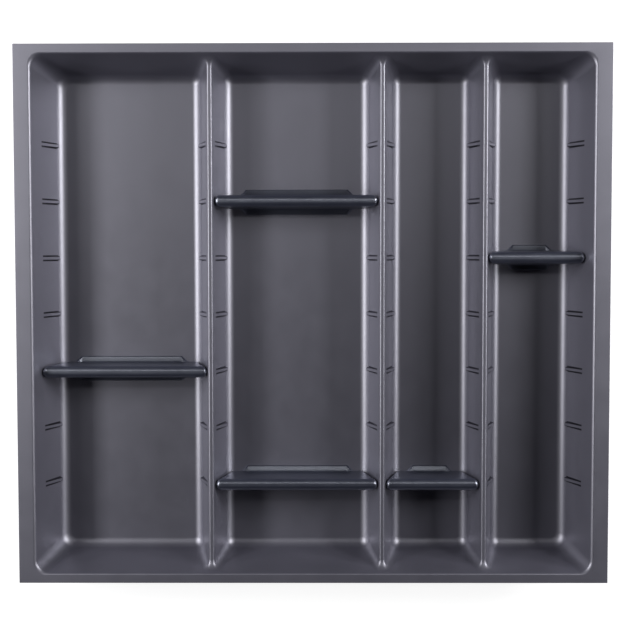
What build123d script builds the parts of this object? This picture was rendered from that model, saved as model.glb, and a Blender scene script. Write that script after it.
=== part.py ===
from build123d import *
import os
from math import cos, radians, sin, tan

os.makedirs("parts", exist_ok=True)

# Cutlery tray for a wide kitchen drawer: one formed plastic tray with four long compartments,
# and five loose cross dividers that stand in it. Lengths are millimetres and angles degrees.
# X runs along the drawer's width, Y from its front to its back, and Z up.
# The origin lies under the middle of the tray, on the surface it rests on.

# Tray, outside
tray_width = 520
tray_depth = 473
tray_height = 50
sheet = 1.5

# Well inside the flat flange. The flange is measured to where the well's walls would meet it
# without rounding.
side_flange = 14.5
end_flange = 8.5
wall_draft = 16.5
well_corner_radius = 12
floor_radius = 9
floor_limit_share = 0.95
rim_radius = 3.2

# Ridges between the compartments, placed from the well's middle by shares of its width
ridge_place_shares = [-0.184, 0.125, 0.309]
ridge_draft = 14.5
crest_width = 3.8
crest_drop = 9.5
crest_edge_radius = 1.5
hollow_crest_width = 3
hollow_crest_radius = 1.2
ridge_end_radius = 9.5

# Upright ribs on both side walls of every compartment
rib_rows_each_way = 3
rib_pitch = 50.5
rib_width = 3.8
rib_height = 1.2
rib_top_drop = 8.5
rib_bottom_rise = 8.5
rib_side_slope = 25
rib_root_share = 0.5
rib_corner_share = 0.3

# Cross dividers, hollow and open below
divider_top_drop = 2.5
divider_side_draft = 2
divider_top_width = 10
divider_wall = 1.6
top_round_share = 0.85
foot_width = 5
foot_thickness = 1.5
foot_end_gap = 5.5
divider_clearance = 0.4
corner_clearance_share = 0.75

# Reach of every cutting shape past what it cuts
overrun = 1

# Sizes that follow from those above
well_width = tray_width - 2 * side_flange
well_depth = tray_depth - 2 * end_flange
ridge_places = [share * well_width for share in ridge_place_shares]
floor_level = sheet
crest_level = tray_height - crest_drop
rib_top_level = crest_level - rib_top_drop
rib_bottom_level = floor_level + rib_bottom_rise
divider_top_level = crest_level - divider_top_drop
wall_slope = tan(radians(wall_draft))
ridge_slope = tan(radians(ridge_draft))

# The floor's rounding runs round inside the upright corner roundings, so it stays under them
floor_round = min(floor_radius, floor_limit_share * min(ridge_end_radius, well_corner_radius))

# The hollow inside a ridge ends where it has narrowed to its own crest width
sheet_across = sheet / cos(radians(ridge_draft))
hollow_widening = (hollow_crest_width - crest_width) / 2 + sheet_across
hollow_crest_level = crest_level - hollow_widening / ridge_slope


# Half of a ridge's width at a level, where its sides would be without rounding. With the
# sheet's thickness as depth, the sides lie that much deeper, inside the hollow ridge.
def ridge_half(level, depth):
    outer_half = crest_width / 2 + (crest_level - level) * ridge_slope
    return outer_half - depth / cos(radians(ridge_draft))


# Edges where the ridges run into the front and back walls, above the floor
def ridge_end_edges(body, bottom, ridge_foot):
    def on_ridge_end(edge):
        middle = edge.center()
        beside_ridge = min(abs(middle.X - place) for place in ridge_places) < ridge_foot
        at_end = abs(middle.Y) > well_depth / 2 - tray_height
        above_floor = bottom + overrun / 2 < middle.Z < crest_level + overrun / 2
        return beside_ridge and at_end and above_floor

    return body.edges().filter_by(on_ridge_end)


# Space inside the tray's upper surface, for a depth of zero. With the sheet's thickness as
# depth, every surface lies that much deeper and the shape is bounded by the tray's underside.
def tray_space(depth, crest, crest_radius):
    bottom = floor_level - depth
    wider = 2 * depth / cos(radians(wall_draft))
    ridge_foot = ridge_half(bottom, depth)
    ridge_top = ridge_half(crest, depth)
    with BuildPart() as space:
        with BuildSketch(Plane.XY.offset(tray_height)):
            Rectangle(well_width + wider, well_depth + wider)
        extrude(amount=tray_height - bottom, dir=(0, 0, -1), taper=wall_draft)
        corners = space.edges().filter_by(lambda edge: edge.bounding_box().size.Z > sheet)
        fillet(corners, radius=well_corner_radius + depth)
        for place in ridge_places:
            with BuildSketch(Plane.XZ):
                with BuildLine():
                    Polyline(
                        (place - ridge_foot, bottom),
                        (place - ridge_top, crest),
                        (place + ridge_top, crest),
                        (place + ridge_foot, bottom),
                        close=True,
                    )
                section = make_face()
                fillet(section.vertices().group_by(Axis.Y)[-1], radius=crest_radius)
            extrude(amount=tray_depth, both=True, mode=Mode.SUBTRACT)
        ends = ridge_end_edges(space.part, bottom, ridge_foot)
        fillet(ends, radius=ridge_end_radius + depth)
        floors = space.faces().filter_by(Axis.Z).group_by(Axis.Z)[0]
        fillet(floors.edges(), radius=floor_round + depth)
    return space.part


# Planes on the compartment side walls, one for each rib: halfway up the rib, facing out of
# the wall, with the local Y axis pointing up the slope
def rib_planes():
    middle_level = (rib_top_level + rib_bottom_level) / 2
    wall_place = well_width / 2 - (tray_height - middle_level) * wall_slope
    ridge_side = ridge_half(middle_level, 0)
    sides = [(-wall_place, 1, wall_draft), (wall_place, -1, wall_draft)]
    for place in ridge_places:
        sides.append((place - ridge_side, -1, ridge_draft))
        sides.append((place + ridge_side, 1, ridge_draft))
    planes = []
    for place, facing, draft in sides:
        outward = (facing * cos(radians(draft)), 0, sin(radians(draft)))
        for row in range(-rib_rows_each_way, rib_rows_each_way + 1):
            foot_point = (place, row * rib_pitch, middle_level)
            planes.append(Plane(origin=foot_point, x_dir=(0, facing, 0), z_dir=outward))
    return planes


# Outline of a rib or of the groove behind it: a bar with its four corners cut
def rib_outline(length, width):
    with BuildSketch(mode=Mode.PRIVATE) as outline:
        Rectangle(width, length)
        chamfer(outline.vertices(), length=width * rib_corner_share)
    return outline.sketch


rib_length = (rib_top_level - rib_bottom_level) / cos(radians(ridge_draft))
rib_root = sheet * rib_root_share
root_spread = 2 * rib_root * tan(radians(rib_side_slope))
rib_foot_outline = rib_outline(rib_length + root_spread, rib_width + root_spread)
groove_outline = rib_outline(rib_length - sheet, rib_width - sheet)
inside = tray_space(0, crest_level, crest_edge_radius)
underside = tray_space(sheet, hollow_crest_level, hollow_crest_radius)

with BuildPart() as rib_bodies:
    for wall_plane in rib_planes():
        with BuildSketch(wall_plane.offset(-rib_root)):
            add(rib_foot_outline)
    extrude(amount=rib_height + rib_root, taper=rib_side_slope)

# Grooves behind the ribs, where the sheet follows them at its own thickness
with BuildPart() as groove_bodies:
    for wall_plane in rib_planes():
        with BuildSketch(wall_plane.offset(-sheet - overrun)):
            add(groove_outline)
    extrude(amount=rib_height + overrun)

with BuildPart() as tray:
    add(underside)
    with BuildSketch(Plane.XY.offset(tray_height - sheet)):
        Rectangle(tray_width, tray_depth)
    extrude(amount=sheet)
    add(inside, mode=Mode.SUBTRACT)
    rim = tray.faces().sort_by(Axis.Z)[-1].inner_wires()[0]
    fillet(rim.edges(), radius=rim_radius)
    under_flange = tray.faces().filter_by(Axis.Z).group_by(Axis.Z)[-2][0].inner_wires()[0]
    fillet(under_flange.edges(), radius=rim_radius - sheet)
    add(rib_bodies.part)
    add(groove_bodies.part, mode=Mode.SUBTRACT)
tray.part.label = "tray"
export_step(tray.part, "parts/tray.step")


# Places of the two walls of a compartment at a level: compartment 0 is the left one
def compartment_walls(number, level):
    wall_reach = well_width / 2 - (tray_height - level) * wall_slope
    ridge_reach = ridge_half(level, 0)
    left = -wall_reach if number == 0 else ridge_places[number - 1] + ridge_reach
    last = number == len(ridge_places)
    right = wall_reach if last else ridge_places[number] - ridge_reach
    return left, right


# Draft of the two walls of a compartment
def compartment_drafts(number):
    left = wall_draft if number == 0 else ridge_draft
    right = wall_draft if number == len(ridge_places) else ridge_draft
    return left, right


# The same places moved in from both walls by a gap, measured square to each wall
def inset_walls(number, level, gap):
    left, right = compartment_walls(number, level)
    left_draft, right_draft = compartment_drafts(number)
    return left + gap / cos(radians(left_draft)), right - gap / cos(radians(right_draft))


# Upright block with rounded ends that fills the divider's outside. With the divider's wall as
# depth, every surface lies that much deeper and the block is the space inside the divider.
# It starts below the floor, and the compartment's own outline then trims its lower corners.
def divider_block(number, row, depth):
    top = divider_top_level - depth
    half_top = divider_top_width / 2 - depth
    with BuildPart() as block:
        for level in (floor_level - overrun, top):
            left, right = inset_walls(number, level, divider_clearance + depth)
            width = 2 * (half_top + (top - level) * tan(radians(divider_side_draft)))
            with BuildSketch(Plane.XY.offset(level)):
                with Locations(((left + right) / 2, row * rib_pitch)):
                    SlotOverall(right - left, width)
        loft(ruled=True)
        top_face = block.faces().sort_by(Axis.Z)[-1]
        fillet(top_face.edges(), radius=half_top * top_round_share)
        corner_gap = divider_clearance * corner_clearance_share + depth
        low_left, low_right = inset_walls(number, floor_level, corner_gap)
        high_left, high_right = inset_walls(number, tray_height, corner_gap)
        with BuildSketch(Plane.XZ.offset(-row * rib_pitch)):
            with BuildLine():
                Polyline(
                    (low_left, floor_level),
                    (low_right, floor_level),
                    (high_right, tray_height),
                    (high_left, tray_height),
                    close=True,
                )
            outline = make_face()
            fillet(outline.vertices().group_by(Axis.Y)[0], radius=floor_round - corner_gap)
        extrude(amount=rib_pitch / 2, both=True, mode=Mode.INTERSECT)
    return block.part


# One divider with its two foot strips, hollow from below and slotted at both ends so that it
# passes down over the ribs
def make_divider(number, row):
    along = row * rib_pitch
    outside = divider_block(number, row, 0)
    hollow = divider_block(number, row, divider_wall)
    left, right = compartment_walls(number, floor_level)
    left_draft, right_draft = compartment_drafts(number)
    left_flat = left + floor_round * tan(radians(90 - left_draft) / 2)
    right_flat = right - floor_round * tan(radians(90 - right_draft) / 2)
    foot_left = left_flat + foot_end_gap
    foot_right = right_flat - foot_end_gap
    height = divider_top_level - floor_level
    side = divider_top_width / 2 + height * tan(radians(divider_side_draft))
    slot_width = rib_width + 2 * divider_clearance
    slot_top = rib_top_level + divider_clearance
    with BuildPart() as divider:
        add(outside)
        with BuildSketch(Plane.XY.offset(floor_level)):
            for facing in (-1, 1):
                with BuildLine():
                    Polyline(
                        (foot_left, along),
                        (foot_left, along + facing * side),
                        (foot_left + foot_width, along + facing * (side + foot_width)),
                        (foot_right - foot_width, along + facing * (side + foot_width)),
                        (foot_right, along + facing * side),
                        (foot_right, along),
                        close=True,
                    )
                make_face()
        extrude(amount=foot_thickness)
        add(hollow, mode=Mode.SUBTRACT)
        for end, flat in ((-1, left_flat), (1, right_flat)):
            with BuildSketch(Plane.YZ.offset(flat)):
                with Locations((along, slot_top)):
                    Rectangle(slot_width, slot_top, align=(Align.CENTER, Align.MAX))
            extrude(amount=end * tray_height, mode=Mode.SUBTRACT)
    return divider.part


# Dividers by name, with the compartment and the rib row that each one stands in
divider_seats = {
    "wide_divider_left": (0, -1),
    "wide_divider_back": (1, 2),
    "wide_divider_front": (1, -3),
    "narrow_divider_front": (2, -3),
    "narrow_divider_back": (3, 1),
}
for name, (number, row) in divider_seats.items():
    divider = make_divider(number, row)
    divider.label = name
    export_step(divider, f"parts/{name}.step")
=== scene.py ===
import bpy
import bmesh
from math import cos, pi, radians, sin, tan
from mathutils import Matrix, Vector


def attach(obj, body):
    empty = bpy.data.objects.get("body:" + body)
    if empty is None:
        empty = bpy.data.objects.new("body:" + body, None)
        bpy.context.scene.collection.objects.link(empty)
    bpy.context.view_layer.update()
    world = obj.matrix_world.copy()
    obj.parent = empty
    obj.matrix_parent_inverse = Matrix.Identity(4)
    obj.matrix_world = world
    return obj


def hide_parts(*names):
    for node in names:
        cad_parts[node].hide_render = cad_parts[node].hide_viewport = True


# Cutlery tray: one formed tray in satin dark plastic, and five darker dividers standing in it.
# Metres, X across the drawer, Y to its back, Z up. A draft is an angle in degrees.

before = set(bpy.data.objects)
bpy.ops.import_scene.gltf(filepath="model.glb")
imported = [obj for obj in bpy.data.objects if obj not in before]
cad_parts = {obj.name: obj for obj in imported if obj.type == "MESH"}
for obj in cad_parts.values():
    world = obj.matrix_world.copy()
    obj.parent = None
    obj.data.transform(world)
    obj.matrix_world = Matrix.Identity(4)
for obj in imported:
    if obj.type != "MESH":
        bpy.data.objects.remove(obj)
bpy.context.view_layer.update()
print("frame loaded:", len(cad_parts), "nodes")

tiny = 0.00005        # places closer than this are the same place
upward = 0.9          # a face looks up where its normal's Z is above this
flatAngle = 0.01      # faces that meet at less than this, in radians, are one flat face
smoothAngle = 35      # edges sharper than this, in degrees, stay sharp
flatWeight = 90       # how far large faces lead the shading of the roundings beside them


# Modelling helpers: everything is picked by place or direction, then shaped by an operator
def takeUp(piece):
    bpy.ops.object.select_all(action="DESELECT")
    piece.select_set(True)
    bpy.context.view_layer.objects.active = piece


def bake(piece):
    takeUp(piece)
    bpy.ops.object.transform_apply(location=True, rotation=True, scale=True)


def pick(piece, kind, test):
    bpy.ops.mesh.select_mode(type={"verts": "VERT", "edges": "EDGE", "faces": "FACE"}[kind])
    bpy.ops.mesh.select_all(action="DESELECT")
    mesh = bmesh.from_edit_mesh(piece.data)
    for part in getattr(mesh, kind):
        if test(part):
            part.select_set(True)
    mesh.select_flush_mode()
    bmesh.update_edit_mesh(piece.data)


def near(value, target):
    return abs(value - target) < tiny


def atLevel(edge, level):
    return all(near(vert.co.z, level) for vert in edge.verts)


def rise(edge):
    return abs(edge.verts[0].co.z - edge.verts[1].co.z)


def run(edge):
    return abs(edge.verts[0].co.y - edge.verts[1].co.y)


def looksUp(face):
    return face.normal.z > upward


# Straight up, or down where the height is below zero
def extrude(height):
    bpy.ops.mesh.extrude_region_move(TRANSFORM_OT_translate={"value": (0, 0, height)})


def roundOff(width, steps):
    bpy.ops.mesh.bevel(offset_type="OFFSET", offset=width, segments=steps, affect="EDGES",
                       clamp_overlap=False)


def applyModifier(piece, kind, **settings):
    takeUp(piece)
    modifier = piece.modifiers.new(kind.lower(), kind)
    for name, value in settings.items():
        setattr(modifier, name, value)
    bpy.ops.object.modifier_apply(modifier=modifier.name)


def combine(piece, tool, operation):
    applyModifier(piece, "BOOLEAN", operation=operation, object=tool, solver="EXACT")
    bpy.data.objects.remove(tool)


def smooth(piece):
    takeUp(piece)
    bpy.ops.object.shade_smooth_by_angle(angle=radians(smoothAngle))
    applyModifier(piece, "WEIGHTED_NORMAL", keep_sharp=True, weight=flatWeight)


trayShape = {
    "width": 0.520,
    "depth": 0.473,
    "height": 0.050,
    "sheet": 0.0014,
    "floorLevel": 0.0015,
    "wellWidth": 0.491,
    "wellDepth": 0.456,
    "wallDraft": 18.4,       # side walls
    "endDraft": 16.5,        # front and back walls
    "ridgePlaces": (-0.090344, 0.061375, 0.151719),
    "ridgeDraft": 14.5,
    "crestLevel": 0.0405,
    "crestWidth": 0.0038,
    "crestEdge": 0.0011,     # width of each rounding, measured along the face beside the edge
    "ridgeEnd": 0.0072,
    "wellCorner": 0.0110,
    "floorEdge": 0.0068,
    "rimEdge": 0.0024,
    "outerEdge": 0.0003,
    "steps": 10,             # faces across each rounding
    "crestSteps": 4,
    "rimSteps": 6,
    "outerSteps": 2,
    "ridgeRoom": 0.02,       # the ridges' ends lie further than this from the side walls
}

wallSlope = tan(radians(trayShape["wallDraft"]))
endSlope = tan(radians(trayShape["endDraft"]))
ridgeSlope = tan(radians(trayShape["ridgeDraft"]))


# Where the walls and ridges stand at a level
def wallPlace(level):
    return trayShape["wellWidth"] / 2 - (trayShape["height"] - level) * wallSlope


def endPlace(level):
    return trayShape["wellDepth"] / 2 - (trayShape["height"] - level) * endSlope


def ridgeHalf(level):
    return trayShape["crestWidth"] / 2 + (trayShape["crestLevel"] - level) * ridgeSlope


def buildTray():
    shape = trayShape
    top, crest, floor = shape["height"], shape["crestLevel"], shape["floorLevel"]
    bpy.ops.mesh.primitive_plane_add(size=1, location=(0, 0, top))
    piece = bpy.context.object
    piece.name = "formed_tray"
    bpy.ops.transform.resize(value=(shape["width"], shape["depth"], 1))
    bake(piece)

    bpy.ops.object.mode_set(mode="EDIT")
    bpy.ops.mesh.select_all(action="SELECT")
    flange = (shape["depth"] - shape["wellDepth"]) / 2
    bpy.ops.mesh.inset(thickness=flange)
    bpy.ops.transform.resize(value=(shape["wellWidth"] / (shape["width"] - 2 * flange), 1, 1))

    # The well down to crest level, then the four compartments down to the floor
    extrude(crest - top)
    bpy.ops.transform.resize(value=(2 * wallPlace(crest) / shape["wellWidth"],
                                    2 * endPlace(crest) / shape["wellDepth"], 1))
    for place in shape["ridgePlaces"]:
        for side in (-1, 1):
            pick(piece, "faces", lambda face: near(face.calc_center_median().z, crest))
            line = place + side * shape["crestWidth"] / 2
            bpy.ops.mesh.bisect(plane_co=(line, 0, crest), plane_no=(1, 0, 0))

    def isCompartment(face):
        middle = face.calc_center_median()
        onRidge = any(abs(middle.x - place) < shape["crestWidth"] / 2 for place in shape["ridgePlaces"])
        return near(middle.z, crest) and not onRidge

    pick(piece, "faces", isCompartment)
    extrude(floor - crest)
    widening = (crest - floor) * ridgeSlope
    sideNarrowing = (crest - floor) * wallSlope
    endNarrowing = (crest - floor) * endSlope
    for side in (-1, 1):
        wall, end = side * wallPlace(crest), side * endPlace(crest)
        pick(piece, "verts", lambda vert: near(vert.co.z, floor) and near(vert.co.x, wall))
        bpy.ops.transform.translate(value=(-side * sideNarrowing, 0, 0))
        pick(piece, "verts", lambda vert: near(vert.co.z, floor) and near(vert.co.y, end))
        bpy.ops.transform.translate(value=(0, -side * endNarrowing, 0))
        for place in shape["ridgePlaces"]:
            line = place + side * shape["crestWidth"] / 2
            pick(piece, "verts", lambda vert: near(vert.co.z, floor) and near(vert.co.x, line))
            bpy.ops.transform.translate(value=(side * widening, 0, 0))

    # Flat seams left on the outer walls at crest level
    pick(piece, "edges", lambda edge: atLevel(edge, crest)
         and len(edge.link_faces) == 2 and edge.calc_face_angle() < flatAngle)
    bpy.ops.mesh.dissolve_edges(use_verts=True)

    # Roundings: crest edges, ridge ends, well corners, floor edges, rim
    def onEndWall(vert):
        return near(abs(vert.co.y), endPlace(vert.co.z))

    pick(piece, "edges", lambda edge: atLevel(edge, crest) and run(edge) > shape["wellDepth"] / 2)
    roundOff(shape["crestEdge"], shape["crestSteps"])
    pick(piece, "edges", lambda edge: all(onEndWall(vert) for vert in edge.verts)
         and run(edge) < shape["height"]
         and all(abs(vert.co.x) < wallPlace(floor) - shape["ridgeRoom"] for vert in edge.verts)
         and max(vert.co.z for vert in edge.verts) > floor + tiny
         and max(vert.co.z for vert in edge.verts) < crest + tiny)
    roundOff(shape["ridgeEnd"], shape["steps"])
    pick(piece, "edges", lambda edge: all(onEndWall(vert) for vert in edge.verts)
         and all(near(abs(vert.co.x), wallPlace(vert.co.z)) for vert in edge.verts)
         and rise(edge) > crest - floor)
    roundOff(shape["wellCorner"], shape["steps"])
    pick(piece, "edges", lambda edge: atLevel(edge, floor))
    roundOff(shape["floorEdge"], shape["steps"])
    pick(piece, "edges", lambda edge: atLevel(edge, top)
         and all(abs(vert.co.x) < shape["wellWidth"] / 2 + tiny for vert in edge.verts)
         and all(abs(vert.co.y) < shape["wellDepth"] / 2 + tiny for vert in edge.verts))
    roundOff(shape["rimEdge"], shape["rimSteps"])

    bpy.ops.mesh.select_all(action="SELECT")
    bpy.ops.mesh.normals_make_consistent(inside=False)
    bpy.ops.object.mode_set(mode="OBJECT")
    print("tray surface:", len(piece.data.polygons), "faces")

    # The sheet's thickness goes below the surface, whichever way its faces came to look
    facesUp = sum(face.normal.z * face.area for face in piece.data.polygons) > 0
    applyModifier(piece, "SOLIDIFY", thickness=shape["sheet"], offset=-1 if facesUp else 1,
                  use_even_offset=True, use_quality_normals=True)
    bpy.ops.object.mode_set(mode="EDIT")
    pick(piece, "edges", lambda edge: all(near(abs(vert.co.x), shape["width"] / 2) or
                                          near(abs(vert.co.y), shape["depth"] / 2) for vert in edge.verts))
    roundOff(shape["outerEdge"], shape["outerSteps"])
    bpy.ops.object.mode_set(mode="OBJECT")
    return piece


ribShape = {
    "rowsEachWay": 3,
    "pitch": 0.0505,
    "width": 0.0046,
    "height": 0.0026,
    "topHeight": -0.0003,    # the rib sinks into the wall at its upper end
    "topLevel": 0.0320,
    "bottomLevel": 0.0075,
    "root": 0.0007,          # how deep the bar reaches into the wall
    "flank": 0.35,           # how far each side leans in, as a share of its height
    "crown": 0.0007,         # rounding round the top
    "cornerShare": 0.3,      # rounding of the upright corners, as a share of the width
    "cornerSteps": 3,
    "crownSteps": 5,
    "grooveDepth": 0.0012,   # grooves behind the ribs, on the underside
    "grooveFlank": 0.2,
}


# Where the ribs stand: the middle of each rib on its wall, with the axis that runs up the
# slope and the one that points out of the wall
def ribSeats():
    level = (ribShape["topLevel"] + ribShape["bottomLevel"]) / 2
    sides = [(-wallPlace(level), 1, trayShape["wallDraft"]), (wallPlace(level), -1, trayShape["wallDraft"])]
    for place in trayShape["ridgePlaces"]:
        sides.append((place - ridgeHalf(level), -1, trayShape["ridgeDraft"]))
        sides.append((place + ridgeHalf(level), 1, trayShape["ridgeDraft"]))
    seats = []
    for place, facing, draft in sides:
        up = Vector((-facing * sin(radians(draft)), 0, cos(radians(draft))))
        out = Vector((facing * cos(radians(draft)), 0, sin(radians(draft))))
        turn = Matrix((Vector((0, facing, 0)), up, out)).transposed().to_4x4()
        for row in range(-ribShape["rowsEachWay"], ribShape["rowsEachWay"] + 1):
            seats.append(Matrix.Translation((place, row * ribShape["pitch"], level)) @ turn)
    return seats


# Bar on the wall from low to high, given by its size where it meets the wall. It slopes down to
# topHigh at its upper end, and its lower end comes level once the bar leans with the wall.
def buildBar(name, width, length, low, high, topHigh, flank, crown):
    bpy.ops.mesh.primitive_cube_add(size=1, location=(0, 0, (low + high) / 2))
    bar = bpy.context.object
    bar.name = name
    footWidth = width - 2 * flank * low
    topWidth = width - 2 * flank * high
    bpy.ops.transform.resize(value=(footWidth, length, high - low))
    bake(bar)
    bpy.ops.object.mode_set(mode="EDIT")
    pick(bar, "edges", lambda edge: rise(edge) > (high - low) / 2)
    roundOff(footWidth * ribShape["cornerShare"], ribShape["cornerSteps"])
    pick(bar, "faces", looksUp)
    bpy.ops.transform.resize(value=(topWidth / footWidth, 1, 1))
    for side, shift in ((-1, (0, -(high - low) * ridgeSlope, 0)), (1, (0, 0, topHigh - high))):
        pick(bar, "verts", lambda vert: near(vert.co.z, high) and vert.co.y * side > 0)
        bpy.ops.transform.translate(value=shift)
    pick(bar, "faces", looksUp)
    if crown:
        bpy.ops.mesh.region_to_loop()
        roundOff(crown, ribShape["crownSteps"])
    bpy.ops.object.mode_set(mode="OBJECT")
    return bar


# One copy at each seat, all joined
def spreadCopies(first, seats):
    copies = []
    for seat in seats:
        takeUp(first)
        bpy.ops.object.duplicate()
        copy = bpy.context.object
        copy.matrix_world = seat
        bake(copy)
        copies.append(copy)
    bpy.data.objects.remove(first)
    takeUp(copies[0])
    for copy in copies:
        copy.select_set(True)
    bpy.ops.object.join()
    return copies[0]


tray = buildTray()
print("tray sheet done:", len(tray.data.polygons), "faces")
seats = ribSeats()
ribLength = (ribShape["topLevel"] - ribShape["bottomLevel"]) / cos(radians(trayShape["ridgeDraft"]))
rib = buildBar("rib", ribShape["width"], ribLength, -ribShape["root"], ribShape["height"],
               ribShape["topHeight"], ribShape["flank"], ribShape["crown"])
combine(tray, spreadCopies(rib, seats), "UNION")
grooveTop = ribShape["grooveDepth"] - trayShape["sheet"]
groove = buildBar("groove", ribShape["width"] - trayShape["sheet"], ribLength - trayShape["sheet"],
                  -2 * trayShape["sheet"], grooveTop, grooveTop, ribShape["grooveFlank"], 0)
combine(tray, spreadCopies(groove, seats), "DIFFERENCE")
smooth(tray)
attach(tray, "tray_body")
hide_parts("tray")
print("tray done:", len(tray.data.polygons), "faces")


# Dividers: hollow, open below, with a foot strip on each side
dividerShape = {
    "height": 0.0365,
    "sideDraft": 2.0,
    "topWidth": 0.010,
    "wall": 0.0016,
    "topRoundShare": 0.88,   # rounding along the top, as a share of half the top's width
    "topSteps": 10,
    "clearance": 0.0004,     # gap to the walls and round the ribs
    "cornerClearance": 0.0003,
    "cornerSteps": 10,
    "floorRadius": 0.009,
    "below": 0.001,          # the block starts this far below the floor, and is trimmed to it
    "footWidth": 0.005,
    "footThickness": 0.0012,
    "footRise": 0.0009,      # the strip's top rises by this towards the body
    "footSeam": 0.0008,      # then meets it in a small slope
    "footEdgeLean": 0.0004,
    "footCornerLean": 0.0018,
    "footEndGap": 0.0055,
    "softEdge": 0.0003,
    "softSteps": 2,
    "slotEdge": 0.0009,
    "slotSteps": 3,
    "sides": 48,             # faces round the two ends
}

# Compartment number, from the left, and rib row, from the middle to the back, of each divider
dividerSeats = {
    "wide_divider_left": (0, -1),
    "wide_divider_back": (1, 2),
    "wide_divider_front": (1, -3),
    "narrow_divider_front": (2, -3),
    "narrow_divider_back": (3, 1),
}


# Left and right wall of a compartment at a level, counted from the left
def compartmentWalls(number, level):
    last = len(trayShape["ridgePlaces"])
    places = trayShape["ridgePlaces"]
    left = -wallPlace(level) if number == 0 else places[number - 1] + ridgeHalf(level)
    right = wallPlace(level) if number == last else places[number] - ridgeHalf(level)
    return left, right


# Drafts of the same two walls, in radians
def compartmentDrafts(number):
    last = len(trayShape["ridgePlaces"])
    left = trayShape["wallDraft"] if number == 0 else trayShape["ridgeDraft"]
    right = trayShape["wallDraft"] if number == last else trayShape["ridgeDraft"]
    return radians(left), radians(right)


# The same two walls with a gap in front of each, measured square to the wall
def insetWalls(number, level, gap):
    left, right = compartmentWalls(number, level)
    leftDraft, rightDraft = compartmentDrafts(number)
    return left + gap / cos(leftDraft), right - gap / cos(rightDraft)


# Upright block with round ends that follow the compartment's walls, and with the floor's
# rounding at its lower corners. The depth makes it smaller all round, for the hollow inside.
def buildBlock(name, number, depth):
    shape = dividerShape
    low = trayShape["floorLevel"] - shape["below"]
    high = trayShape["floorLevel"] + shape["height"] - depth
    highHalf = shape["topWidth"] / 2 - depth
    lowHalf = highHalf + (high - low) * tan(radians(shape["sideDraft"]))
    lowEnds = insetWalls(number, low, shape["clearance"] + depth)
    highEnds = insetWalls(number, high, shape["clearance"] + depth)
    bpy.ops.mesh.primitive_cylinder_add(vertices=shape["sides"], radius=lowHalf, depth=high - low,
                                        location=(0, 0, (low + high) / 2),
                                        rotation=(0, 0, pi / shape["sides"]))
    block = bpy.context.object
    block.name = name
    bake(block)
    bpy.ops.object.mode_set(mode="EDIT")
    for level, half, ends in ((low, lowHalf, lowEnds), (high, highHalf, highEnds)):
        for side, end in zip((-1, 1), ends):
            pick(block, "verts", lambda vert: near(vert.co.z, level) and
                 0 < vert.co.x * side < lowHalf + tiny)
            bpy.ops.transform.resize(value=(half / lowHalf, half / lowHalf, 1),
                                     center_override=(0, 0, level))
            bpy.ops.transform.translate(value=(end - side * half, 0, 0))
    pick(block, "faces", looksUp)
    bpy.ops.mesh.region_to_loop()
    roundOff(highHalf * shape["topRoundShare"], shape["topSteps"])
    bpy.ops.object.mode_set(mode="OBJECT")

    # Trimming shape: a slab between the walls, from the floor up, with rounded lower corners. It
    # starts 2 m wide and high, so its corners are found at -1 and 1.
    gap = shape["cornerClearance"] + depth
    bottom = trayShape["floorLevel"]
    lowEnds = insetWalls(number, bottom, gap)
    highEnds = insetWalls(number, trayShape["height"], gap)
    bpy.ops.mesh.primitive_cube_add(size=1, location=(0, 0, 0))
    slab = bpy.context.object
    bpy.ops.transform.resize(value=(2, 2 * ribShape["pitch"], 2))
    bake(slab)
    bpy.ops.object.mode_set(mode="EDIT")
    for start, level, ends in ((-1, bottom, lowEnds), (1, trayShape["height"], highEnds)):
        for side, end in zip((-1, 1), ends):
            pick(slab, "verts", lambda vert: near(vert.co.z, start) and near(vert.co.x, side))
            bpy.ops.transform.translate(value=(end - side, 0, level - start))
    pick(slab, "edges", lambda edge: atLevel(edge, bottom) and run(edge) > ribShape["pitch"])
    turn = radians(90) - min(compartmentDrafts(number))
    roundOff((shape["floorRadius"] - gap) * tan(turn / 2), shape["cornerSteps"])
    bpy.ops.object.mode_set(mode="OBJECT")
    combine(block, slab, "INTERSECT")
    return block


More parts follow.
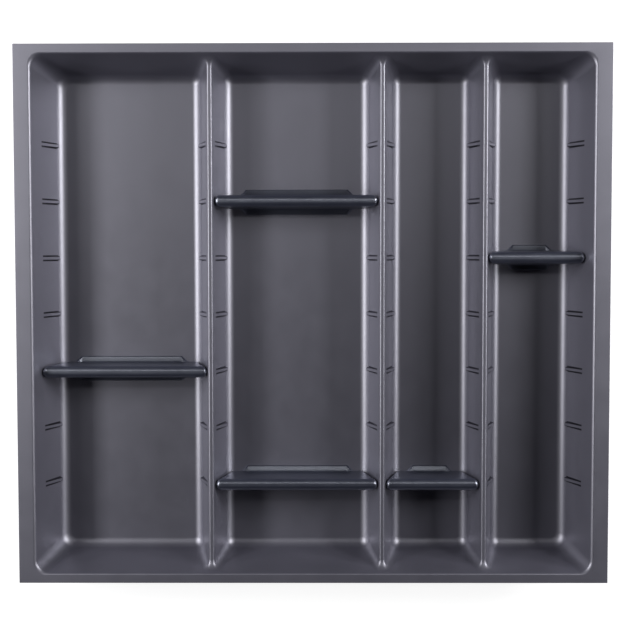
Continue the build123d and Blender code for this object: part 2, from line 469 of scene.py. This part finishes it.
def buildDivider(name, number, row):
    shape = dividerShape
    floor = trayShape["floorLevel"]
    divider = buildBlock(name + "_form", number, 0)
    hollow = buildBlock(name + "_hollow", number, shape["wall"])
    left, right = compartmentWalls(number, floor)
    leftDraft, rightDraft = compartmentDrafts(number)
    leftFlat = left + shape["floorRadius"] * tan((radians(90) - leftDraft) / 2)
    rightFlat = right - shape["floorRadius"] * tan((radians(90) - rightDraft) / 2)
    footLeft, footRight = leftFlat + shape["footEndGap"], rightFlat - shape["footEndGap"]
    footHalf = shape["topWidth"] / 2 + shape["height"] * tan(radians(shape["sideDraft"])) + shape["footWidth"]

    # Foot strips: one plate under the whole divider, corners cut at 45 degrees, its top sloping out
    footMiddle = ((footLeft + footRight) / 2, 0, floor + shape["footThickness"] / 2)
    bpy.ops.mesh.primitive_cube_add(size=1, location=footMiddle)
    foot = bpy.context.object
    bpy.ops.transform.resize(value=(footRight - footLeft, 2 * footHalf, shape["footThickness"]))
    bake(foot)
    bpy.ops.object.mode_set(mode="EDIT")
    pick(foot, "edges", lambda edge: rise(edge) > shape["softEdge"])
    roundOff(shape["footWidth"], 1)
    topHalf = footHalf - shape["footEdgeLean"]
    bodyHalf = footHalf - shape["footWidth"]
    pick(foot, "faces", looksUp)
    bpy.ops.transform.resize(value=(1 - 2 * shape["footCornerLean"] / (footRight - footLeft),
                                    topHalf / footHalf, 1))
    extrude(shape["footRise"])
    bpy.ops.transform.resize(value=(1, (bodyHalf + shape["footSeam"]) / topHalf, 1))
    extrude(shape["footSeam"])
    bpy.ops.transform.resize(value=(1, bodyHalf / (bodyHalf + shape["footSeam"]), 1))
    pick(foot, "edges", lambda edge: atLevel(edge, floor + shape["footThickness"]))
    roundOff(shape["softEdge"], shape["softSteps"])
    bpy.ops.object.mode_set(mode="OBJECT")
    combine(divider, foot, "UNION")
    combine(divider, hollow, "DIFFERENCE")

    # Slots at both ends, which pass down over the ribs. Each is made as long as it is high, which
    # takes it past the divider's end.
    slotWidth = ribShape["width"] + 2 * shape["clearance"]
    slotTop = ribShape["topLevel"] + shape["clearance"]
    for side, flat in ((-1, leftFlat), (1, rightFlat)):
        bpy.ops.mesh.primitive_cube_add(size=1, location=(flat + side * slotTop / 2, 0, 0))
        slot = bpy.context.object
        bpy.ops.transform.resize(value=(slotTop, slotWidth, 2 * slotTop))
        bake(slot)
        bpy.ops.object.mode_set(mode="EDIT")
        pick(slot, "edges", lambda edge: atLevel(edge, slotTop) and run(edge) < tiny)
        roundOff(shape["slotEdge"], shape["slotSteps"])
        bpy.ops.object.mode_set(mode="OBJECT")
        combine(divider, slot, "DIFFERENCE")
    takeUp(divider)
    bpy.ops.transform.translate(value=(0, row * ribShape["pitch"], 0))
    bake(divider)
    smooth(divider)
    return divider


dividers = []
for name, (number, row) in dividerSeats.items():
    divider = buildDivider(name, number, row)
    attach(divider, name + "_body")
    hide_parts(name)
    dividers.append(divider)
    print(name, "done:", len(divider.data.polygons), "faces")


# Materials. Patterns read Object coordinates, so every length in them is in metres, and the
# shades are shares of the colour.
plasticLooks = {
    "trayPlastic": {
        "colour": (0.0454, 0.0446, 0.0600),
        "paleColour": (0.0485, 0.0477, 0.0640),
        "roughness": 0.42,
        "roughnessSpread": 0.03,
        "pebble": 0.00045,
        "pebbleRelief": 0.000004,
        "wave": 0.07,
        "waveRelief": 0.00005,
        "scuffs": 0.03,
        "specular": 1.0,     # with the index below, the gloss that was fitted to the photograph
        "ior": 1.96,
        "specularTint": (0.90, 0.89, 1.0),
        # Painted shade: black lines along the creases beside the ribs stand in for the shadow that falls
        # there. Place beside the rib's middle, half their width, how far along Y the rows of ribs reach, and
        # strength
        "paintedCreaseShade": {"beside": 0.0019, "half": 0.0010, "reach": 0.17, "strength": 0.85},
    },
    "dividerPlastic": {
        "colour": (0.0110, 0.0125, 0.0245),
        "paleColour": (0.0125, 0.0142, 0.0270),
        "roughness": 0.31,
        "roughnessSpread": 0.03,
        "pebble": 0.0007,
        "pebbleRelief": 0.0000025,
        "wave": 0.03,
        "waveRelief": 0.00002,
        "scuffs": 0.03,
        "specular": 1.0,
        "ior": 2.25,
        "specularTint": (0.84, 0.88, 1.0),
    },
}
sharedLook = {
    "valleyShare": 0.3,
    "valleyShade": (0.8, 0.8, 0.82),
    "scuffColour": (0.5, 0.5, 0.52),
    # colour of the painted shade in the creases beside the ribs
    "creaseShadeColour": (0.0, 0.0, 0.0),
}


def addNode(tree, kind, x, y, settings=None, values=None):
    node = tree.nodes.new(kind)
    node.location = (x, y)
    for name, value in (settings or {}).items():
        setattr(node, name, value)
    for name, value in (values or {}).items():
        node.inputs[name].default_value = value
    return node


def newGroup(name, inputs, outputs):
    group = bpy.data.node_groups.new(name, "ShaderNodeTree")
    for label, kind in inputs:
        group.interface.new_socket(label, in_out="INPUT", socket_type=kind)
    for label, kind in outputs:
        group.interface.new_socket(label, in_out="OUTPUT", socket_type=kind)
    enter = group.nodes.new("NodeGroupInput")
    enter.location = (-900, 0)
    leave = group.nodes.new("NodeGroupOutput")
    leave.location = (900, 0)
    return group, enter.outputs, leave.inputs


# A number is written on the node, and anything else is linked to it
def addMath(tree, operation, x, y, first, second):
    node = addNode(tree, "ShaderNodeMath", x, y, {"operation": operation})
    for index, value in enumerate((first, second)):
        if isinstance(value, (int, float)):
            node.inputs[index].default_value = value
        else:
            tree.links.new(value, node.inputs[index])
    return node.outputs[0]


# Rises from zero at the start to one at the end, or falls from one to zero where it is flipped
def addRange(tree, x, y, value, start, end, flip=False, soft=False):
    node = addNode(tree, "ShaderNodeMapRange", x, y,
                   {"interpolation_type": "SMOOTHSTEP" if soft else "LINEAR"},
                   {"From Min": start, "From Max": end,
                    "To Min": 1.0 if flip else 0.0, "To Max": 0.0 if flip else 1.0})
    tree.links.new(value, node.inputs["Value"])
    return node.outputs[0]


# Fine pebbled grain of a textured mould: rounded cells of uneven size, with a mask of the
# valleys between them
grainShape = {
    "shake": 0.6,            # scale of the noise that unsettles the cells, per cell
    "crown": (0.05, 0.75),   # distances from a cell's middle where its top ends and its foot lies
    "valley": 0.35,          # heights below this share count as valley
}


def pebbleGrain():
    group, enter, leave = newGroup("pebbleGrain",
                                   [("Vector", "NodeSocketVector"), ("Size", "NodeSocketFloat")],
                                   [("Height", "NodeSocketFloat"), ("Valleys", "NodeSocketFloat")])
    link = group.links.new
    count = addMath(group, "DIVIDE", -700, -150, 1.0, enter["Size"])
    shake = addNode(group, "ShaderNodeTexNoise", -500, 150, values={"Detail": 2.0})
    link(enter["Vector"], shake.inputs["Vector"])
    link(addMath(group, "MULTIPLY", -500, -150, count, grainShape["shake"]), shake.inputs["Scale"])
    centred = addNode(group, "ShaderNodeVectorMath", -300, 150, {"operation": "SUBTRACT"},
                      {1: (0.5, 0.5, 0.5)})
    link(shake.outputs["Color"], centred.inputs[0])
    spread = addNode(group, "ShaderNodeVectorMath", -150, 150, {"operation": "SCALE"})
    link(centred.outputs[0], spread.inputs[0])
    link(enter["Size"], spread.inputs["Scale"])
    moved = addNode(group, "ShaderNodeVectorMath", 0, 100, {"operation": "ADD"})
    link(enter["Vector"], moved.inputs[0])
    link(spread.outputs[0], moved.inputs[1])
    cells = addNode(group, "ShaderNodeTexVoronoi", 150, 100, {"feature": "F1"})
    link(moved.outputs[0], cells.inputs["Vector"])
    link(count, cells.inputs["Scale"])
    crown = addRange(group, 350, 100, cells.outputs["Distance"], *grainShape["crown"], flip=True, soft=True)
    link(crown, leave["Height"])
    link(addRange(group, 550, -100, crown, 0.0, grainShape["valley"], flip=True), leave["Valleys"])
    return group


# Slow waves left by forming and cooling, and a broad tone that drifts with them
waveLook = {
    "mottle": 3.3,           # the tone's patches are this much smaller than the waves
    "tone": (0.3, 0.7),
}


def coolingWaves():
    group, enter, leave = newGroup("coolingWaves",
                                   [("Vector", "NodeSocketVector"), ("Length", "NodeSocketFloat")],
                                   [("Height", "NodeSocketFloat"), ("Tone", "NodeSocketFloat")])
    link = group.links.new
    count = addMath(group, "DIVIDE", -700, -150, 1.0, enter["Length"])
    slow = addNode(group, "ShaderNodeTexNoise", -400, 150, values={"Detail": 1.0, "Roughness": 0.35})
    link(enter["Vector"], slow.inputs["Vector"])
    link(count, slow.inputs["Scale"])
    link(slow.outputs["Fac"], leave["Height"])
    mottle = addNode(group, "ShaderNodeTexNoise", -400, -250, values={"Detail": 3.0, "Roughness": 0.6})
    link(enter["Vector"], mottle.inputs["Vector"])
    link(addMath(group, "MULTIPLY", -550, -250, count, waveLook["mottle"]), mottle.inputs["Scale"])
    link(addRange(group, 0, -200, mottle.outputs["Fac"], *waveLook["tone"]), leave["Tone"])
    return group


# Hairline scuffs: long thin streaks in two directions, broken up by a patchy noise
scuffLook = {
    "turns": (0.35, -1.15),              # radians
    "scale": (60.0, 2400.0, 300.0),      # streaks per metre along, across and through
    "cut": (0.70, 0.78),
    "patchScale": 28.0,
    "patchCut": (0.5, 0.65),
}


def hairScuffs():
    group, enter, leave = newGroup("hairScuffs", [("Vector", "NodeSocketVector")],
                                   [("Mask", "NodeSocketFloat")])
    link = group.links.new
    streaks = []
    for turn, y in zip(scuffLook["turns"], (200, -150)):
        aim = addNode(group, "ShaderNodeMapping", -650, y,
                      values={"Rotation": (0.0, 0.0, turn), "Scale": scuffLook["scale"]})
        link(enter["Vector"], aim.inputs["Vector"])
        thin = addNode(group, "ShaderNodeTexNoise", -450, y, values={"Scale": 1.0, "Detail": 1.0})
        link(aim.outputs[0], thin.inputs["Vector"])
        streaks.append(addRange(group, -250, y, thin.outputs["Fac"], *scuffLook["cut"]))
    both = addMath(group, "MAXIMUM", -50, 50, *streaks)
    patch = addNode(group, "ShaderNodeTexNoise", -250, -400,
                    values={"Scale": scuffLook["patchScale"], "Detail": 2.0})
    link(enter["Vector"], patch.inputs["Vector"])
    patchy = addRange(group, -50, -300, patch.outputs["Fac"], *scuffLook["patchCut"])
    link(addMath(group, "MULTIPLY", 200, 0, both, patchy), leave["Mask"])
    return group


grainGroup = pebbleGrain()
waveGroup = coolingWaves()
scuffGroup = hairScuffs()


def placeGroup(tree, group, x, y, vector, values=None):
    node = addNode(tree, "ShaderNodeGroup", x, y, {"node_tree": group}, values)
    tree.links.new(vector, node.inputs["Vector"])
    return node


# Mask of the painted shade in the creases along the ribs, zero everywhere else
def paintedCreaseShadeMask(tree, where, paintedCreaseShade):
    axes = addNode(tree, "ShaderNodeSeparateXYZ", -1400, 900)
    tree.links.new(where, axes.inputs[0])
    away = addMath(tree, "PINGPONG", -1200, 900, axes.outputs["Y"], ribShape["pitch"] / 2)
    offset = addMath(tree, "SUBTRACT", -1050, 900, away, paintedCreaseShade["beside"])
    offset = addMath(tree, "ABSOLUTE", -900, 900, offset, 0)
    along = addMath(tree, "ABSOLUTE", -1200, 700, axes.outputs["Y"], 0)
    low, high = ribShape["bottomLevel"], ribShape["topLevel"]
    soft = paintedCreaseShade["half"] / 2
    mask = paintedCreaseShade["strength"]
    for value, zeroAt, oneAt in ((offset, paintedCreaseShade["half"], paintedCreaseShade["half"] - soft),
                                 (axes.outputs["Z"], low - soft, low + soft),
                                 (axes.outputs["Z"], high + soft, high - soft),
                                 (along, paintedCreaseShade["reach"], paintedCreaseShade["reach"] - soft)):
        edge = addRange(tree, -700, 900, value, zeroAt, oneAt, soft=True)
        mask = addMath(tree, "MULTIPLY", -500, 900, edge, mask)
    return mask


def makePlastic(name):
    look = plasticLooks[name]
    material = bpy.data.materials.new(name)
    material.use_nodes = True
    tree = material.node_tree
    link = tree.links.new
    shader = tree.nodes["Principled BSDF"]
    shader.inputs["Specular IOR Level"].default_value = look["specular"]
    shader.inputs["IOR"].default_value = look["ior"]
    shader.inputs["Specular Tint"].default_value = (*look["specularTint"], 1)
    where = addNode(tree, "ShaderNodeTexCoord", -1400, 0).outputs["Object"]
    grain = placeGroup(tree, grainGroup, -1150, 250, where, {"Size": look["pebble"]})
    waves = placeGroup(tree, waveGroup, -1150, 0, where, {"Length": look["wave"]})
    scuffs = placeGroup(tree, scuffGroup, -1150, -250, where)

    # Colour: two close tones that drift, a little darker in the grain's valleys, pale on scuffs, and painted
    # shade in black along the creases beside the ribs
    tone = addNode(tree, "ShaderNodeMix", -850, 350, {"data_type": "RGBA"})
    tone.inputs["A"].default_value = (*look["colour"], 1)
    tone.inputs["B"].default_value = (*look["paleColour"], 1)
    link(waves.outputs["Tone"], tone.inputs["Factor"])
    shade = addNode(tree, "ShaderNodeMix", -650, 350, {"data_type": "RGBA", "blend_type": "MULTIPLY"})
    link(addMath(tree, "MULTIPLY", -850, 150, grain.outputs["Valleys"], sharedLook["valleyShare"]),
         shade.inputs["Factor"])
    link(tone.outputs["Result"], shade.inputs["A"])
    shade.inputs["B"].default_value = (*sharedLook["valleyShade"], 1)
    scuffed = addNode(tree, "ShaderNodeMix", -450, 350, {"data_type": "RGBA"})
    pale = addMath(tree, "MULTIPLY", -650, 100, scuffs.outputs["Mask"], look["scuffs"])
    link(pale, scuffed.inputs["Factor"])
    link(shade.outputs["Result"], scuffed.inputs["A"])
    scuffed.inputs["B"].default_value = (*sharedLook["scuffColour"], 1)
    colour = scuffed.outputs["Result"]
    # Painted shade: the creases along the ribs are coloured black in place of the shadow that falls in them
    if "paintedCreaseShade" in look:
        paintedCreaseShade = paintedCreaseShadeMask(tree, where, look["paintedCreaseShade"])
        creaseShaded = addNode(tree, "ShaderNodeMix", -200, 350, {"data_type": "RGBA"})
        link(paintedCreaseShade, creaseShaded.inputs["Factor"])
        link(colour, creaseShaded.inputs["A"])
        creaseShaded.inputs["B"].default_value = (*sharedLook["creaseShadeColour"], 1)
        link(paintedCreaseShade, shader.inputs["Metallic"])    # painted shade: takes the gloss off the black creases too, so they stay dark
        colour = creaseShaded.outputs["Result"]
    link(colour, shader.inputs["Base Color"])

    # Roughness drifts with the tone and rises in the valleys and on scuffs
    drift = addMath(tree, "MULTIPLY", -850, -50, waves.outputs["Tone"], look["roughnessSpread"])
    valley = addMath(tree, "MULTIPLY", -850, -200, grain.outputs["Valleys"], look["roughnessSpread"])
    rubbed = addMath(tree, "MULTIPLY", -850, -350, scuffs.outputs["Mask"], 2 * look["scuffs"])
    summed = addMath(tree, "ADD", -650, -100, drift, valley)
    summed = addMath(tree, "ADD", -500, -200, summed, rubbed)
    link(addMath(tree, "ADD", -350, -150, summed, look["roughness"]), shader.inputs["Roughness"])

    # Relief in metres: grain and waves in one height
    small = addMath(tree, "MULTIPLY", -850, -500, grain.outputs["Height"], look["pebbleRelief"])
    broad = addMath(tree, "MULTIPLY", -850, -650, waves.outputs["Height"], look["waveRelief"])
    relief = addNode(tree, "ShaderNodeBump", -350, -500, values={"Strength": 1.0, "Distance": 1.0})
    link(addMath(tree, "ADD", -600, -550, small, broad), relief.inputs["Height"])
    link(relief.outputs["Normal"], shader.inputs["Normal"])
    return material


def dress(piece, material):
    piece.data.materials.clear()
    piece.data.materials.append(material)


trayPlastic = makePlastic("trayPlastic")
dividerPlastic = makePlastic("dividerPlastic")
dress(tray, trayPlastic)
for divider in dividers:
    dress(divider, dividerPlastic)
print("materials done")


# Camera at the photograph's place, straight above and a little towards the back
viewShape = {
    "place": (0.0061, 0.0591, 1.1176),
    "turn": (-2.981, 0.356, -0.076),     # degrees
    "focalPixels": 1223.2,
    "imageWidth": 624,
    "sensorWidth": 36.0,
}

cameraData = bpy.data.cameras.new("view")
cameraData.sensor_width = viewShape["sensorWidth"]
cameraData.lens = viewShape["sensorWidth"] * viewShape["focalPixels"] / viewShape["imageWidth"]
camera = bpy.data.objects.new("view", cameraData)
camera.location = viewShape["place"]
camera.rotation_euler = [radians(angle) for angle in viewShape["turn"]]
bpy.context.scene.collection.objects.link(camera)
bpy.context.scene.camera = camera
bpy.context.scene.view_settings.view_transform = "Standard"


# Studio: long soft lamps low on both sides and none in front, over a white floor
studioShape = {
    "floorSize": 100.0,
    "floorColour": (0.35, 0.35, 0.35),
    "floorRoughness": 0.9,
    "floorGlow": 0.85,
    "worldStrength": 0.0,
    "distance": 1.3,         # from the lamps to the middle of the tray
    # Angle from straight up, place along Y, width, length and watts; a minus is the left side
    "lamps": {
        "leftTop": (-44, 0.50, 0.18, 0.5, 3.2),
        "leftMiddle": (-52, 0.00, 0.18, 0.5, 6.4),
        "leftBack": (-52, 0.50, 0.18, 0.5, 3.1),
        "leftSide": (-60, 0.50, 0.18, 0.5, 0.8),
        "leftLow": (-68, 0.20, 0.18, 1.1, 5.6),
        "rightTop": (40, 0.55, 0.18, 0.5, 0.7),
        "rightBack": (52, 0.50, 0.18, 0.5, 8.8),
        "rightSide": (60, 0.00, 0.18, 0.5, 4.4),
        "rightLow": (68, 0.50, 0.18, 0.5, 7.4),
    },
    # The back lamp draws the thin lights along the dividers' tops: place, size and watts
    "backLamp": ((0.0, 0.38, 1.15), (1.0, 0.10), 0.80),
}


def buildLamp(name, place, turn, size, watts):
    light = bpy.data.lights.new(name, "AREA")
    light.shape = "RECTANGLE"
    light.size, light.size_y = size
    light.energy = watts
    lamp = bpy.data.objects.new(name, light)
    lamp.location = place
    lamp.rotation_euler = turn
    bpy.context.scene.collection.objects.link(lamp)


reach = studioShape["distance"]
for name, (angle, along, width, length, watts) in studioShape["lamps"].items():
    lean = radians(angle)
    place = (reach * sin(lean), along, reach * cos(lean))
    buildLamp(name, place, (0, lean, 0), (width, length), watts)
place, size, watts = studioShape["backLamp"]
buildLamp("back", place, Vector(place).to_track_quat("Z", "Y").to_euler(), size, watts)

world = bpy.data.worlds.new("studio")
bpy.context.scene.world = world
world.use_nodes = True
world.node_tree.nodes["Background"].inputs["Strength"].default_value = studioShape["worldStrength"]

# The floor glows white for what looks at it, and still takes the lamps' light and the shadow
bpy.ops.mesh.primitive_plane_add(size=studioShape["floorSize"], location=(0, 0, 0))
ground = bpy.context.object
ground.name = "studio_floor"
floorWhite = bpy.data.materials.new("floorWhite")
floorWhite.use_nodes = True
floorTree = floorWhite.node_tree
floorShader = floorTree.nodes["Principled BSDF"]
floorShader.inputs["Base Color"].default_value = (*studioShape["floorColour"], 1)
floorShader.inputs["Roughness"].default_value = studioShape["floorRoughness"]
floorShader.inputs["Specular IOR Level"].default_value = 0.0
floorShader.inputs["Emission Color"].default_value = (1, 1, 1, 1)
rays = addNode(floorTree, "ShaderNodeLightPath", -900, 0)
seen = addMath(floorTree, "MAXIMUM", -700, 0, rays.outputs["Is Camera Ray"], rays.outputs["Is Glossy Ray"])
seen = addMath(floorTree, "MAXIMUM", -500, 0, seen, rays.outputs["Is Transmission Ray"])
glow = addMath(floorTree, "MULTIPLY", -300, 0, seen, studioShape["floorGlow"])
floorTree.links.new(glow, floorShader.inputs["Emission Strength"])
ground.data.materials.append(floorWhite)
print("studio done")
